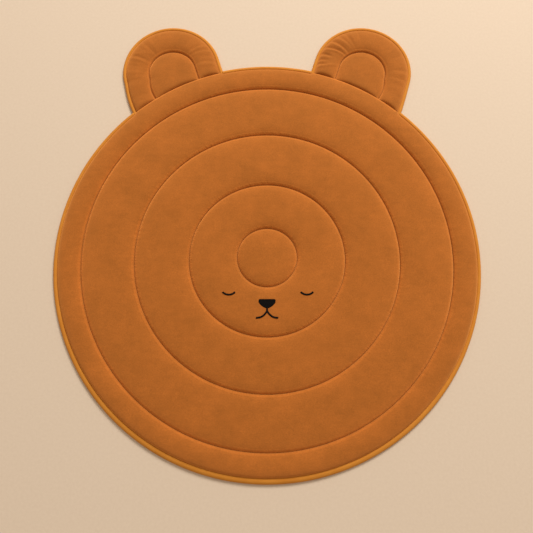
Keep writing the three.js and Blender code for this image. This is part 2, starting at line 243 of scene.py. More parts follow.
# Embroidered face. Strands of satin stitch lie slanted over a padded core, whose size and place are shares
# of the thread's height.
THREAD_WIDTH = 4.6
THREAD_HEIGHT = 1.3
STRAND_PITCH = 0.5
STRAND_WIDTH = 0.72
STRAND_SLANT = 0.25
STRAND_LIFT_SHARE = 0.55
CORE_SIZE_SHARE = 0.6
CORE_LIFT_SHARE = 0.3
CORE_SIDES = 8
CURVE_POINTS = 41
EYE_SPACING = 178.6
EYE_MIDDLE_X = 1.8
EYE_CHORD = 28.0
EYE_SAG = 6.0
EYE_LOW_Y = -88.6
NOSE_WIDTH = 39.0
NOSE_TOP_Y = -98.6
NOSE_BOTTOM_Y = -121.0
NOSE_CORNER = 3.5
NOSE_SIDE_SHARE = 0.66
NOSE_ROUNDNESS = 0.5
NOSE_PADDING_GAP = 0.05
NOSE_PADDING_SHARE = 0.5
NOSE_PADDING_ROWS = 13
MOUTH_FORK = (0.0, -125.6)
MOUTH_BEND = (9.0, -142.4)
MOUTH_END = (25.0, -141.4)
MOUTH_STEM_POINTS = 9

# Quilting stitches, each a bead with blunt ends
STITCH_LENGTH = 3.3
STITCH_PITCH = 4.4
STITCH_WIDTH = 0.9
STITCH_CIRCLE_POINTS = 361
BEAD_SIDES = 6
BEAD_RINGS = 6
BEAD_BLUNTNESS = 0.8

# Stage: the camera's place in millimetres, half the picture's width and the fitted focal length in pixels,
# and the lamp and the floor in metres
CAMERA_PLACE = (-1.4, -285.4, 1223.2)
CAMERA_TILT = math.radians(12.29)
HALF_PICTURE = 266.5
FOCAL_LENGTH = 534.3
KEY_PLACE = (1.5, 3.8, 3.35)
KEY_SIZE = 1.8
KEY_POWER = 261.0
KEY_COLOUR = (1.0, 0.95, 0.88)
SKY_STRENGTH = 0.55
SKY_SWING = 0.18
FLOOR_SIZE = 8.0


# Mesh helpers


def deselect_all():
    bpy.ops.object.select_all(action="DESELECT")


def shaped_grid(name, points, uv_size=None, tone=None):
    """A grid primitive with a row and a column of points for each of points[row, column], each moved to its
    place. Rows or columns that meet are merged, so a form that closes on itself comes out closed."""
    rows, columns, _ = points.shape
    deselect_all()
    bpy.ops.mesh.primitive_grid_add(x_subdivisions=columns - 1, y_subdivisions=rows - 1, size=1)
    piece = bpy.context.object
    piece.name = piece.data.name = name
    mesh = piece.data
    place = np.empty(len(mesh.vertices) * 3, np.float32)
    mesh.vertices.foreach_get("co", place)
    place = place.reshape(-1, 3)
    column = np.rint((place[:, 0] + 0.5) * (columns - 1)).astype(int)
    row = np.rint((place[:, 1] + 0.5) * (rows - 1)).astype(int)
    mesh.vertices.foreach_set("co", (points[row, column] * MM).astype(np.float32).ravel())
    if uv_size is not None:
        uv = np.empty(len(mesh.loops) * 2, np.float32)
        mesh.uv_layers.active.data.foreach_get("uv", uv)
        uv = uv.reshape(-1, 2) * np.array(uv_size) * MM
        mesh.uv_layers.active.data.foreach_set("uv", uv.astype(np.float32).ravel())
    # A tone per point carries painted light and shade into the velvet's colour
    if tone is not None:
        attribute = mesh.attributes.new("painted_light_and_shade", "FLOAT", "POINT")
        attribute.data.foreach_set("value", tone[row, column].astype(np.float32).ravel())
    bpy.ops.object.mode_set(mode="EDIT")
    bpy.ops.mesh.select_all(action="SELECT")
    bpy.ops.mesh.remove_doubles(threshold=MERGE_DISTANCE * MM)
    bpy.ops.mesh.dissolve_degenerate(threshold=MERGE_DISTANCE * MM / 10)
    bpy.ops.mesh.normals_make_consistent(inside=False)
    bpy.ops.object.mode_set(mode="OBJECT")
    bpy.ops.object.shade_smooth()
    return piece


def tube(name, path, half_width, half_height, sides, tilt=0.0):
    """A closed tube along a level path, with UVs that measure metres round it and along it. A tilt lowers
    its left side."""
    along = np.gradient(path, axis=0)
    along /= np.linalg.norm(along, axis=1)[:, None]
    level = np.stack([-along[:, 1], along[:, 0], np.zeros(len(path))], axis=1)
    up = np.array([0, 0, 1.0])
    wide = np.reshape(half_width, (-1, 1)) * (level * math.cos(tilt) - up * math.sin(tilt))
    high = half_height * (level * math.sin(tilt) + up * math.cos(tilt))
    turn = np.linspace(0, 2 * np.pi, sides + 1)[None, :, None]
    body = path[:, None, :] + wide[:, None, :] * np.cos(turn) + high[:, None, :] * np.sin(turn)
    ends = [np.repeat(path[k][None, None, :], sides + 1, axis=1) for k in (0, -1)]
    points = np.concatenate([ends[0], body, ends[1]])
    length = np.linalg.norm(np.diff(path, axis=0), axis=1).sum()
    return shaped_grid(name, points, uv_size=(np.pi * (np.mean(half_width) + half_height), length))


def spaced(path, pitch):
    """Places at an even pitch along a path of points, with the path's direction at each."""
    steps = np.linalg.norm(np.diff(path, axis=0), axis=1)
    way = np.concatenate([[0], np.cumsum(steps)])
    at = np.linspace(0, way[-1], max(2, round(way[-1] / pitch) + 1))
    places = np.stack([np.interp(at, way, path[:, axis]) for axis in range(path.shape[1])], axis=1)
    directions = np.gradient(places, axis=0)
    return places, directions


def join(pieces):
    deselect_all()
    for piece in pieces:
        piece.select_set(True)
    bpy.context.view_layer.objects.active = pieces[0]
    bpy.ops.object.join()
    return pieces[0]


# Filled cloth


def shoulder_rise(distance, length):
    return 1 - np.exp(-np.maximum(distance, 0) / length)


def filled(crown, distance, half, at_edge=False):
    """Height of filled cloth at a distance from its stitch line, or from its piped edge where at_edge is
    true. Its crown is half a cell away."""
    low = np.where(at_edge, FRONT_SEAM_HEIGHT, STITCH_HEIGHT)
    share = np.where(at_edge, EDGE_SHOULDER_SHARE, SHOULDER_SHARE)
    length = np.where(at_edge, EDGE_SHOULDER_LENGTH, SHOULDER_LENGTH)
    flat = 1 - np.clip(distance / half, 0, 1)
    shoulder = shoulder_rise(distance, length) / shoulder_rise(half, length)
    return low + (crown - low) * (share * shoulder + (1 - share) * (1 - flat**2))


def notch(distance, depth, width):
    """Depth of a sharp notch at a distance from its stitch line."""
    return depth * np.exp(-distance / width)


# Share of a painted highlight on a rim, at a distance from its seam
def rim_highlight_share(distance):
    return np.exp(-(((distance - RIM_PAINTED_HIGHLIGHT_PLACE) / RIM_PAINTED_HIGHLIGHT_WIDTH) ** 2))


def edge_painted_light_and_shade(distance):
    """Painted highlight less painted shade on the velvet at a distance from its piped edge."""
    edge_highlight = EDGE_PAINTED_HIGHLIGHT * np.exp(-(((distance - EDGE_PAINTED_HIGHLIGHT_PLACE) / EDGE_PAINTED_HIGHLIGHT_WIDTH) ** 2))
    return edge_highlight - EDGE_PAINTED_SHADE * np.exp(-((distance / EDGE_PAINTED_SHADE_WIDTH) ** 2))


def painted_light_and_shade(distance):
    """Painted light and shade of the velvet at a distance from its stitch line, as a share of its own tone.
    """
    painted_slope_light = SLOPE_PAINTED_LIGHT * np.exp(-distance / SLOPE_PAINTED_LIGHT_WIDTH)
    painted_notch_shade = NOTCH_PAINTED_SHADE * np.exp(-((distance / NOTCH_PAINTED_SHADE_WIDTH) ** 2))
    return 1 + painted_slope_light + RIM_PAINTED_HIGHLIGHT * rim_highlight_share(distance) - painted_notch_shade


def uneven(x, y):
    """Soft swells of the filling, as a sum of long waves that run in all directions."""
    draw = np.random.default_rng(UNEVEN_SEED)
    total = np.zeros_like(x)
    for _ in range(UNEVEN_WAVES):
        turn, phase = draw.uniform(0, 2 * np.pi, 2)
        length = draw.uniform(*UNEVEN_LENGTHS)
        total += np.sin(2 * np.pi * (x * np.cos(turn) + y * np.sin(turn)) / length + phase)
    return UNEVEN_DEPTH * total / math.sqrt(UNEVEN_WAVES)


def crowded(rows):
    """Shares from 0 to 1 that crowd towards both ends, where the stitch lines are."""
    return (1 - np.cos(np.pi * np.arange(rows + 1) / rows)) / 2


# Head


def head_radii(thin=1):
    """Radii of the rows of points from the middle to the edge, crowded at the stitch circles."""
    first = HEAD_RINGS[0]
    rows = first["rows"] // thin
    radii = list(first["outer"] * np.sin(np.pi / 2 * np.arange(rows + 1) / rows))
    for inner, ring in zip(HEAD_RINGS, HEAD_RINGS[1:]):
        span = ring["outer"] - inner["outer"]
        radii.extend(inner["outer"] + span * crowded(ring["rows"] // thin)[1:])
    return np.array(radii)


def stitch_distance(radius):
    return np.min([np.abs(radius - circle) for circle in QUILT_CIRCLES], axis=0)


def head_height(radius):
    height = np.zeros_like(radius)
    inner = -HEAD_RINGS[0]["outer"]
    for ring in HEAD_RINGS:
        middle = (inner + ring["outer"]) / 2
        half = ring["outer"] - middle
        at_edge = (ring["outer"] == EDGE_RADIUS) & (radius > middle)
        here = (radius >= inner) & (radius <= ring["outer"])
        from_stitches = half - np.abs(radius - middle)
        height = np.where(here, filled(ring["crown"], from_stitches, half, at_edge), height)
        inner = ring["outer"]
    return height - notch(stitch_distance(radius), NOTCH_DEPTH, NOTCH_WIDTH)


def gathers(radius, turn):
    """Faint ripples that run out from each stitch circle and fade."""
    total = np.zeros(np.broadcast_shapes(radius.shape, turn.shape))
    draw = np.random.default_rng(UNEVEN_SEED + 1)
    for circle in QUILT_CIRCLES:
        count = round(2 * np.pi * circle / GATHER_PITCH)
        phases = draw.uniform(0, 2 * np.pi, 3)
        wave = np.sin(count * turn + phases[0]) * np.sin(GATHER_SWELLS * turn + phases[1])
        wave = wave + np.sin(round(count * SECOND_GATHER_SHARE) * turn + phases[2])
        total += wave * np.exp(-np.abs(radius - circle) / GATHER_REACH)
    return GATHER_DEPTH * total


def drift(radius):
    """How far the cloth at this radius lies off centre, from one stitch circle to the next."""
    circles = [ring["outer"] for ring in HEAD_RINGS]
    return np.interp(radius, circles, [ring["drift"] for ring in HEAD_RINGS])


def head_surface(radius, turn):
    """Height of the head's velvet, with its unevenness, which fades out at every seam."""
    to_edge = EDGE_RADIUS - radius
    to_seam = np.minimum(stitch_distance(radius), to_edge)
    ripple = gathers(radius, turn) * np.clip(to_seam / GATHER_START, 0, 1)
    ripple = ripple * np.clip(to_edge / GATHER_EDGE_FADE, 0, 1)
    loose = np.clip(to_seam / HEAD_UNEVEN_FADE, 0, 1)
    return head_height(radius) + uneven(radius * np.cos(turn), radius * np.sin(turn)) * loose + ripple


def ear_crossing(side, ear_end):
    """Angle from +Y, seen from the head's middle, where the head's piping meets the outside of an ear's."""
    skew = EAR_ROOT_ANGLE - EAR_TILT
    across = ear_end * EAR_HALF_WIDTH + side * EAR_ROOT_RADIUS * math.sin(skew)
    return side * EAR_TILT + math.asin(across / (PIPING_OUTER_RADIUS - TOP_PIPING_HALF_WIDTH))


def at_root(turn):
    """1 along the head's edge where an ear is sewn on, 0 along its piping."""
    from_top = np.arctan2(np.cos(turn), np.sin(turn))
    share = np.zeros_like(turn)
    for side in EAR_SIDES.values():
        low, high = (ear_crossing(side, end) for end in (-1, 1))
        inside = np.minimum(from_top - low, high - from_top) * EDGE_RADIUS
        share = np.maximum(share, np.clip(inside / (2 * TOP_PIPING_HALF_WIDTH), 0, 1))
    return share


def piping_half_width(from_top):
    """Half the width of the head's piping at this angle from +Y, clockwise."""
    low = np.maximum(np.cos(from_top - PIPING_WIDEST), 0)
    return TOP_PIPING_HALF_WIDTH + (BOTTOM_PIPING_HALF_WIDTH - TOP_PIPING_HALF_WIDTH) * low


def on_rings(radius, turn, height):
    """Points of the head's cloth. Its edge is drawn in under the piping."""
    last = QUILT_CIRCLES[-1]
    edge = PIPING_OUTER_RADIUS - (1 + PIPING_LAP) * piping_half_width(np.pi / 2 - turn)
    pull = (EDGE_RADIUS - edge) * (1 - at_root(turn))
    placed = radius - pull * np.clip((radius - last) / (EDGE_RADIUS - last), 0, 1) ** 3
    x = placed * np.cos(turn)
    y = placed * np.sin(turn) + drift(radius)
    return np.stack([x, y, height + 0 * turn], axis=2)


def make_head():
    turn = np.linspace(0, 2 * np.pi, HEAD_COLUMNS + 1)[None, :]
    back = head_radii(thin=2)[:, None]
    lift = BACK_SEAM_HEIGHT * np.clip((back - EDGE_RADIUS) / UNDERSIDE_ROLL + 1, 0, 1) ** 2
    lift = lift + notch(stitch_distance(back), BACK_NOTCH_DEPTH, BACK_NOTCH_WIDTH)
    front = head_radii()[::-1][:, None]
    root_lift = HEAD_ROOT_LIFT * at_root(turn) * np.exp((front - EDGE_RADIUS) / EDGE_SHOULDER_LENGTH)
    surface = head_surface(front, turn) + root_lift
    points = np.concatenate([on_rings(back, turn, lift), on_rings(front, turn, surface)])
    radii = np.concatenate([back, front]) + 0 * turn
    # Painted light and shade per point: beside the stitches, a stronger painted highlight on the rim where
    # an ear is sewn on, and painted shade in the crease beside the piping
    to_root = EDGE_RADIUS - radii + (1 - at_root(turn)) * EDGE_RADIUS
    tone = painted_light_and_shade(np.minimum(stitch_distance(radii), to_root)) + ROOT_PAINTED_HIGHLIGHT * rim_highlight_share(to_root)
    to_edge = EDGE_RADIUS - radii
    tone = tone + edge_painted_light_and_shade(to_edge) * (1 - at_root(turn))
    # A wider band of painted shade beside the piping near both ends of a line turned from +X
    side = np.cos(turn - SIDE_PAINTED_SHADE_TURN) ** SIDE_PAINTED_SHADE_POWER
    tone = tone - SIDE_PAINTED_SHADE * side * np.exp(-((to_edge / SIDE_PAINTED_SHADE_WIDTH) ** 2))
    return shaped_grid("head_quilted", points, tone=tone)


# Ears


def root_line(side, x):
    """Where the head's edge crosses an upright ear, at x across it."""
    skew = EAR_ROOT_ANGLE - EAR_TILT
    middle_x = -side * EAR_ROOT_RADIUS * math.sin(skew)
    middle_y = -EAR_ROOT_RADIUS * math.cos(skew)
    return middle_y + np.sqrt((EDGE_RADIUS - EAR_ROOT_TUCK) ** 2 - (x - middle_x) ** 2)


def shoulder_of(half_width):
    share = (half_width - INNER_ARCH_HALF_WIDTH) / (EAR_HALF_WIDTH - INNER_ARCH_HALF_WIDTH)
    return INNER_ARCH_SHOULDER + share * (EAR_SHOULDER - INNER_ARCH_SHOULDER)


def arch_columns():
    """Leg share and arch angle of each column of points, from the left root over the top to the right."""
    leg = 1 - np.cos(np.pi / 2 * np.arange(EAR_LEG_COLUMNS) / EAR_LEG_COLUMNS)
    arc = np.linspace(np.pi, 0, EAR_ARC_COLUMNS + 1)
    share = np.concatenate([leg, np.ones(len(arc)), leg[::-1]])
    angle = np.concatenate([np.full(len(leg), np.pi), arc, np.zeros(len(leg))])
    return share, angle


def arch_plan(side, half_width, share, angle):
    """Plan of an upright ear's arch of this half width, as x and y. The leg on the outer side bows out."""
    shoulder = shoulder_of(half_width)
    edge_bow = EDGE_BOW["left" if side < 0 else "right"]
    bow = np.interp(half_width, [0, INNER_ARCH_HALF_WIDTH, EAR_HALF_WIDTH], [0, ARCH_BOW, edge_bow])
    x = half_width * np.cos(angle)
    x = x + side * bow * np.sin(np.pi * share) * (side * np.cos(angle) > 0)
    root = root_line(side, x)
    leg_y = root + share * (shoulder - root)
    return x, np.where(share < 1, leg_y, shoulder + half_width * np.sin(angle))


def place_on_head(side, x, y):
    turn = -side * EAR_TILT
    root_x = side * EAR_ROOT_RADIUS * math.sin(EAR_ROOT_ANGLE)
    root_y = EAR_ROOT_RADIUS * math.cos(EAR_ROOT_ANGLE)
    placed_x = root_x + x * math.cos(turn) - y * math.sin(turn)
    placed_y = root_y + x * math.sin(turn) + y * math.cos(turn)
    return placed_x, placed_y


def ear_rows():
    """Half width of each row of an ear's points from its spine to its edge, the filled height of the row,
    and how far it lies across the outer band."""
    inner = INNER_ARCH_HALF_WIDTH * np.sin(np.pi / 2 * np.arange(EAR_INNER_ROWS) / EAR_INNER_ROWS)
    band = crowded(EAR_BAND_ROWS)
    half_band = (EAR_EDGE_HALF_WIDTH - INNER_ARCH_HALF_WIDTH) / 2
    from_arch = INNER_ARCH_HALF_WIDTH - inner
    inner_height = filled(EAR_CROWN, from_arch, INNER_ARCH_HALF_WIDTH)
    band_height = filled(EAR_CROWN, half_band * (1 - np.abs(2 * band - 1)), half_band, band > 0.5)
    half_width = np.concatenate([inner, INNER_ARCH_HALF_WIDTH + 2 * half_band * band])
    height = np.concatenate([inner_height, band_height])
    across = np.concatenate([np.zeros(EAR_INNER_ROWS), band])
    return half_width[:, None], height[:, None], across[:, None]


def fold_lift(name, along, across):
    """How far an ear's folds lift its band. Each rises soon from the piping and fades towards the arch."""
    lift = np.zeros(np.broadcast_shapes(along.shape, across.shape))
    for fold in EAR_FOLDS[name]:
        line = fold["arch"] + (fold["edge"] - fold["arch"]) * across
        inward = np.clip((1 - across) / fold["reach"], 0, 1)
        swell = np.clip(inward / FOLD_RISE_SHARE, 0, 1) * np.clip((1 - inward) / FOLD_FADE_SHARE, 0, 1)
        lift += fold["lift"] * swell * np.exp(-(((along - line) / fold["half"]) ** 2))
    return lift * (across > 0)


def make_ear(name):
    side = EAR_SIDES[name]
    half_width, row_height, across = ear_rows()
    share, angle = (values[None, :] for values in arch_columns())
    x, y = arch_plan(side, half_width, share, angle)
    leg_left = shoulder_of(EAR_EDGE_HALF_WIDTH) - root_line(side, -EAR_EDGE_HALF_WIDTH)
    leg_right = shoulder_of(EAR_EDGE_HALF_WIDTH) - root_line(side, EAR_EDGE_HALF_WIDTH)
    arc_way = EAR_SHOULDER_PLACE + EAR_EDGE_HALF_WIDTH * (np.pi - angle)
    along = arc_way + np.where(angle == 0, leg_right, -leg_left) * (1 - share)
    arch_distance = np.abs(half_width - INNER_ARCH_HALF_WIDTH)
    to_seam = np.minimum(arch_distance, EAR_EDGE_HALF_WIDTH - half_width)
    height = row_height + fold_lift(name, along, across)
    height = height + uneven(x + side * HEAD_RADIUS, y) * np.clip(to_seam / EAR_UNEVEN_FADE, 0, 1)
    height = height - notch(arch_distance, NOTCH_DEPTH, NOTCH_WIDTH)
    from_root = y - root_line(side, x)
    low = np.minimum(EAR_ROOT_HEIGHT, height)
    top = low + (height - low) * shoulder_rise(from_root, ROOT_SHOULDER_LENGTH)
    to_edge = np.minimum(from_root, EAR_EDGE_HALF_WIDTH - half_width)
    flat = np.clip(to_edge / UNDERSIDE_ROLL, 0, 1)
    back = BACK_SEAM_HEIGHT * (1 - flat) ** 2
    back = back + notch(arch_distance, BACK_NOTCH_DEPTH, BACK_NOTCH_WIDTH) * flat
    placed_x, placed_y = place_on_head(side, x, y)
    under = np.stack([placed_x, placed_y, back], axis=2)
    over = np.stack([placed_x, placed_y, top], axis=2)[::-1]
    points = np.concatenate([under, over])
    # The front and the back meet at both ends of the root
    ends = points[:, [0, -1]].copy()
    ends[:, :, 2] = SEAM_HEIGHT
    points = np.concatenate([ends[:, :1], points, ends[:, 1:]], axis=1)
    # Painted shade over the whole ear and beside its root, and painted light and shade beside its stitch
    # line and piped edge
    tone = EAR_PAINTED_SHADE * painted_light_and_shade(arch_distance) - ROOT_SHADE * np.exp(-from_root / ROOT_SHADE_WIDTH)
    tone = tone + edge_painted_light_and_shade(EAR_EDGE_HALF_WIDTH - half_width)
    tone = np.concatenate([tone[:, :1], tone, tone[:, -1:]], axis=1)
    return shaped_grid(f"ear_{name}_quilted", points, tone=np.concatenate([tone, tone[::-1]]))


# Piping


def ear_piping_path(side):
    share, angle = arch_columns()
    x, y = arch_plan(side, np.full(len(share), EAR_CORD_HALF_WIDTH), share, angle)
    y[[0, -1]] -= PIPING_TUCK
    plan, _ = spaced(np.stack(place_on_head(side, x, y), axis=1), PIPING_STEP)
    return np.column_stack([plan, np.full(len(plan), PIPING_MIDDLE_HEIGHT)])


def head_piping_path(start, end):
    """Level path round the head from one angle from +Y to another, and the piping's half width along it."""
    angle = np.linspace(start, end, round(HEAD_RADIUS * abs(end - start) / PIPING_STEP))
    half_width = piping_half_width(angle)
    radius = PIPING_OUTER_RADIUS - half_width
    height = np.full(len(angle), PIPING_MIDDLE_HEIGHT)
    return np.stack([radius * np.sin(angle), radius * np.cos(angle), height], axis=1), half_width


def make_piping():
    tuck = PIPING_TUCK / HEAD_RADIUS
    outer_right = ear_crossing(1, 1) - tuck
    outer_left = ear_crossing(-1, -1) + tuck
    inner_left = ear_crossing(-1, 1) - tuck
    inner_right = ear_crossing(1, -1) + tuck
    lengths = {
        "piping_head_lower": head_piping_path(outer_right, outer_left + 2 * np.pi),
        "piping_head_crown": head_piping_path(inner_left, inner_right),
    }
    for name, side in EAR_SIDES.items():
        lengths[f"piping_ear_{name}"] = (ear_piping_path(side), EAR_PIPING_HALF_WIDTH)
    return {
        node: tube(f"{node}_covered", path, half_width, PIPING_HALF_HEIGHT, PIPING_SIDES, PIPING_TILT)
        for node, (path, half_width) in lengths.items()
    }


# Stitches and embroidery


def strand_shape():
    """One short length of thread, a long bead of unit length, width and height, as points and faces."""
    deselect_all()
    bpy.ops.mesh.primitive_uv_sphere_add(
        segments=BEAD_SIDES, ring_count=BEAD_RINGS, radius=0.5, rotation=(0, math.pi / 2, 0)
    )
    bead = bpy.context.object
    bpy.ops.object.transform_apply(rotation=True)
    points = np.array([vertex.co for vertex in bead.data.vertices])
    points[:, 0] = np.sign(points[:, 0]) * np.abs(2 * points[:, 0]) ** BEAD_BLUNTNESS / 2
    faces = [list(polygon.vertices) for polygon in bead.data.polygons]
    bpy.data.objects.remove(bead)
    return points, faces


def strands(name, middles, directions, lengths, width):
    """Many strands in one piece, each laid along a level direction with its middle at a place."""
    points, faces = strand_shape()
    middles = np.asarray(middles, float)
    along = np.asarray(directions, float)
    along = along / np.linalg.norm(along, axis=1)[:, None]
    up = np.array([0, 0, 1.0]) - along[:, 2:] * along
    up /= np.linalg.norm(up, axis=1)[:, None]
    across = np.cross(up, along)
    lengths = np.broadcast_to(lengths, len(middles))
    all_points = (
        middles[:, None, :]
        + points[None, :, :1] * (along * lengths[:, None])[:, None, :]
        + points[None, :, 1:2] * width * across[:, None, :]
        + points[None, :, 2:] * width * up[:, None, :]
    )
    starts = [k * len(points) for k in range(len(middles))]
    all_faces = [[start + corner for corner in face] for start in starts for face in faces]
    mesh = bpy.data.meshes.new(name)
    mesh.from_pydata((all_points.reshape(-1, 3) * MM).tolist(), [], all_faces)
    piece = bpy.data.objects.new(name, mesh)
    bpy.context.collection.objects.link(piece)
    deselect_all()
    piece.select_set(True)
    bpy.context.view_layer.objects.active = piece
    bpy.ops.object.shade_smooth()
    return piece


def quilting_paths():
    """Stitch lines in plan: the head's circles, and each ear's inner arch."""
    turn = np.linspace(0, 2 * np.pi, STITCH_CIRCLE_POINTS)
    paths = []
    for circle in QUILT_CIRCLES:
        paths.append(np.stack([circle * np.cos(turn), circle * np.sin(turn) + drift(circle)], axis=1))
    share, angle = arch_columns()
    for side in EAR_SIDES.values():
        x, y = arch_plan(side, np.full(len(share), INNER_ARCH_HALF_WIDTH), share, angle)
        inside = y - root_line(side, x) > UNDERSIDE_ROLL
        paths.append(np.stack(place_on_head(side, x[inside], y[inside]), axis=1))
    return paths


def make_quilting():
    """Running stitches that lie at the bottom of every notch, on the front and on the back."""
    middles, directions = [], []
    floor_height = STITCH_HEIGHT - NOTCH_DEPTH + STITCH_WIDTH / 3
    for path in quilting_paths():
        places, ways = spaced(path, STITCH_PITCH)
        for height in (floor_height, BACK_NOTCH_DEPTH - STITCH_WIDTH / 3):
            middles.append(np.column_stack([places, np.full(len(places), height)]))
            directions.append(np.column_stack([ways, np.zeros(len(ways))]))
    middles = np.concatenate(middles)
    directions = np.concatenate(directions)
    return strands("quilting_stitches", middles, directions, STITCH_LENGTH, STITCH_WIDTH)


def on_head(plan, lift):
    """Plan points laid on the head's velvet, this far above it."""
    x, y = plan[:, 0], plan[:, 1] - drift(np.hypot(plan[:, 0], plan[:, 1]))
    return np.column_stack([plan, head_surface(np.hypot(x, y), np.arctan2(y, x)) + lift])


def satin_line(name, plan):
    """An embroidered line: a padded core under close strands that lie across it, a little slanted."""
    places, ways = spaced(plan, STRAND_PITCH)
    slant = np.column_stack([-ways[:, 1], ways[:, 0]]) + STRAND_SLANT * ways
    middles = on_head(places, THREAD_HEIGHT * STRAND_LIFT_SHARE)
    thick = THREAD_HEIGHT * CORE_SIZE_SHARE
    core = tube(f"{name}_core", on_head(places, THREAD_HEIGHT * CORE_LIFT_SHARE), thick, thick, CORE_SIDES)
    directions = np.column_stack([slant, np.zeros(len(slant))])
    return join([strands(name, middles, directions, THREAD_WIDTH, STRAND_WIDTH), core])


def make_eye(name):
    radius = (EYE_CHORD**2 / 4 + EYE_SAG**2) / (2 * EYE_SAG)
    half = math.asin(EYE_CHORD / 2 / radius)
    turn = np.linspace(-half, half, CURVE_POINTS) - math.pi / 2
    x = EYE_MIDDLE_X + EAR_SIDES[name] * EYE_SPACING / 2 + radius * np.cos(turn)
    y = EYE_LOW_Y + radius + radius * np.sin(turn)
    return satin_line(f"eye_{name}_satin", np.column_stack([x, y]))


def sweep(side):
    """One half of the mouth, a curve from the fork out to its end."""
    share = np.linspace(0, 1, CURVE_POINTS)[:, None]
    fork, bend, end = (np.array([side * x, y]) for x, y in (MOUTH_FORK, MOUTH_BEND, MOUTH_END))
    return (1 - share) ** 2 * fork + 2 * share * (1 - share) * bend + share**2 * end


def make_mouth():
    stem_y = np.linspace(NOSE_BOTTOM_Y, MOUTH_FORK[1] - THREAD_WIDTH / 4, MOUTH_STEM_POINTS)
    stem = np.column_stack([np.zeros(MOUTH_STEM_POINTS), stem_y])
    parts = [satin_line("mouth_satin", stem)]
    parts += [satin_line(f"mouth_sweep_{name}", sweep(side)) for name, side in EAR_SIDES.items()]
    return join(parts)


def nose_edges(x):
    """Lower and upper edge of the nose at x: a flat top with round corners, full sides down to a point."""
    half = NOSE_WIDTH / 2
    out = np.abs(x) / half
    corner = np.clip((np.abs(x) - half + NOSE_CORNER) / NOSE_CORNER, 0, 1)
    top = NOSE_TOP_Y - NOSE_CORNER * (1 - np.sqrt(1 - corner**2))
    rise = NOSE_ROUNDNESS * out**3 + (1 - NOSE_ROUNDNESS) * out
    bottom = NOSE_BOTTOM_Y + NOSE_SIDE_SHARE * (NOSE_TOP_Y - NOSE_BOTTOM_Y) * rise
    return bottom, top


def make_nose():
    half = NOSE_WIDTH / 2
    x = np.linspace(-half, half, round(NOSE_WIDTH / STRAND_PITCH) + 1)[1:-1]
    bottom, top = nose_edges(x)
    middles = on_head(np.column_stack([x, (bottom + top) / 2]), THREAD_HEIGHT * STRAND_LIFT_SHARE)
    directions = np.column_stack([np.zeros(len(x)), np.ones(len(x)), np.zeros(len(x))])
    satin = strands("nose_satin", middles, directions, top - bottom, STRAND_WIDTH)
    across = np.linspace(0, 1, NOSE_PADDING_ROWS)[None, :, None]
    low, high = np.column_stack([x, bottom]), np.column_stack([x, top])
    plan = low[:, None, :] + across * (high - low)[:, None, :]
    lower = on_head(plan.reshape(-1, 2), NOSE_PADDING_GAP).reshape(len(x), -1, 3)
    upper = lower.copy()
    upper[1:-1, 1:-1, 2] += THREAD_HEIGHT * NOSE_PADDING_SHARE
    patch = shaped_grid("nose_padding", np.concatenate([lower, upper[:, ::-1]], axis=1))
    return join([satin, patch])


# Materials


def linear(hex_colour):
    """An sRGB hex colour as linear red, green, blue and full alpha."""
    channels = [int(hex_colour[k : k + 2], 16) / 255 for k in (1, 3, 5)]
    return [c / 12.92 if c <= 0.04045 else ((c + 0.055) / 1.055) ** 2.4 for c in channels] + [1.0]


def add_node(tree, kind, settings=(), links=()):
    """Adds a node, sets its inputs and properties by name, and links its inputs to other nodes' outputs."""
    node = tree.nodes.new(kind)
    for key, value in dict(settings).items():
        if isinstance(key, int) or key in node.inputs:
            node.inputs[key].default_value = value
        else:
            setattr(node, key, value)
    for key, source in dict(links).items():
        tree.links.new(source, node.inputs[key])
    return node


def new_material(name):
    material = bpy.data.materials.new(name)
    material.use_nodes = True
    tree = material.node_tree
    tree.nodes.clear()
    return material, tree


def finish_material(tree, settings, tone, bump=None):
    """Ends a material with its shader, which takes a colour from one node and a normal from another."""
    links = {"Base Color": tone.outputs["Result"]}
    if bump:
        links["Normal"] = bump.outputs["Normal"]
    shader = add_node(tree, "ShaderNodeBsdfPrincipled", settings, links)
    add_node(tree, "ShaderNodeOutputMaterial", links={"Surface": shader.outputs["BSDF"]})


